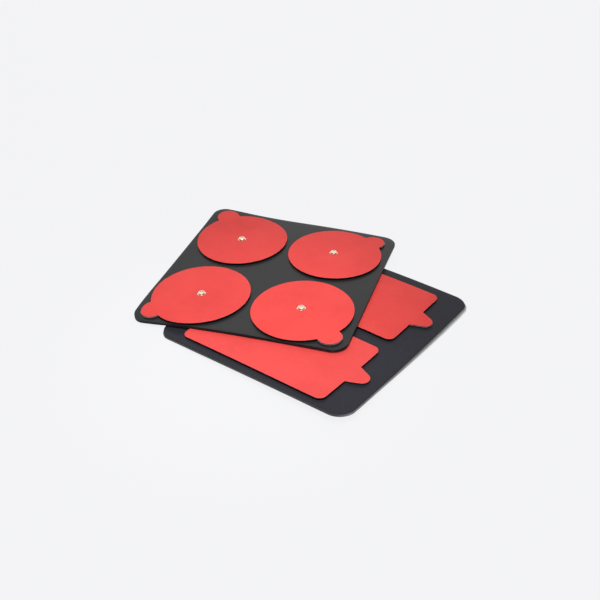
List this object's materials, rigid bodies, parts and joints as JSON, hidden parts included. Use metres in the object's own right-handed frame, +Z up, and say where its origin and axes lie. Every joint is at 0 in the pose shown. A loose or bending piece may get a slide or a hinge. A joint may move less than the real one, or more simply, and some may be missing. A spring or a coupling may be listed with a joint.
{
  "type": "stimulation electrode pad set",
  "caption": "Red self-adhesive muscle-stimulation electrode pads, round and rectangular, with pull tabs and metal snap contacts, stored on two stacked black release cards.",
  "frame": {"origin": "centre of the lower card's underside", "axes": "+Z up, out of the cards; +X along the rectangular pads towards their pull tabs; +Y towards rectangular pad 2"},
  "size_m": [0.177, 0.1486, 0.0068],
  "materials": {
    "release_card": "black silicone-coated plastic sheet, fine satin grain",
    "red_cover": "matte red soft film over thin foam",
    "carbon_film": "black carbon-loaded conductive film",
    "hydrogel": "clear tacky hydrogel",
    "backing_film": "thin translucent film",
    "nickel": "nickel-plated, lightly polished"
  },
  "bodies": {
    "lower_card": {"lower_card": "release_card"},
    "upper_card": {"upper_card": "release_card"},
    "round_pad_1": {"round_pad_1_cover": "red_cover", "round_pad_1_carbon_film": "carbon_film", "round_pad_1_gel": "hydrogel", "round_pad_1_tab_backing": "backing_film", "round_pad_1_snap_stud": "nickel", "round_pad_1_snap_eyelet": "nickel"},
    "round_pad_2": {"round_pad_2_cover": "red_cover", "round_pad_2_carbon_film": "carbon_film", "round_pad_2_gel": "hydrogel", "round_pad_2_tab_backing": "backing_film", "round_pad_2_snap_stud": "nickel", "round_pad_2_snap_eyelet": "nickel"},
    "round_pad_3": {"round_pad_3_cover": "red_cover", "round_pad_3_carbon_film": "carbon_film", "round_pad_3_gel": "hydrogel", "round_pad_3_tab_backing": "backing_film", "round_pad_3_snap_stud": "nickel", "round_pad_3_snap_eyelet": "nickel"},
    "round_pad_4": {"round_pad_4_cover": "red_cover", "round_pad_4_carbon_film": "carbon_film", "round_pad_4_gel": "hydrogel", "round_pad_4_tab_backing": "backing_film", "round_pad_4_snap_stud": "nickel", "round_pad_4_snap_eyelet": "nickel"},
    "rect_pad_1": {"rect_pad_1_cover": "red_cover", "rect_pad_1_carbon_film": "carbon_film", "rect_pad_1_gel": "hydrogel", "rect_pad_1_tab_backing": "backing_film", "rect_pad_1_snap_stud": "nickel", "rect_pad_1_snap_eyelet": "nickel"},
    "rect_pad_2": {"rect_pad_2_cover": "red_cover", "rect_pad_2_carbon_film": "carbon_film", "rect_pad_2_gel": "hydrogel", "rect_pad_2_tab_backing": "backing_film", "rect_pad_2_snap_stud": "nickel", "rect_pad_2_snap_eyelet": "nickel"}
  },
  "joints": [
    {"name": "upper_card_lift", "type": "slide", "parent": "lower_card", "child": "upper_card", "axis": [0, 0, 1], "range_m": [0, 0.06]},
    {"name": "round_pad_1_lift", "type": "slide", "parent": "upper_card", "child": "round_pad_1", "axis": [0, 0, 1], "range_m": [0, 0.03]},
    {"name": "round_pad_2_lift", "type": "slide", "parent": "upper_card", "child": "round_pad_2", "axis": [0, 0, 1], "range_m": [0, 0.03]},
    {"name": "round_pad_3_lift", "type": "slide", "parent": "upper_card", "child": "round_pad_3", "axis": [0, 0, 1], "range_m": [0, 0.03]},
    {"name": "round_pad_4_lift", "type": "slide", "parent": "upper_card", "child": "round_pad_4", "axis": [0, 0, 1], "range_m": [0, 0.03]},
    {"name": "rect_pad_1_lift", "type": "slide", "parent": "lower_card", "child": "rect_pad_1", "axis": [0, 0, 1], "range_m": [0, 0.03]},
    {"name": "rect_pad_2_lift", "type": "slide", "parent": "lower_card", "child": "rect_pad_2", "axis": [0, 0, 1], "range_m": [0, 0.03]}
  ],
  "couplings": [
    {"joint": "rect_pad_1_lift", "follows": "upper_card_lift", "ratio": 0.5},
    {"joint": "rect_pad_2_lift", "follows": "upper_card_lift", "ratio": 0.5}
  ]
}
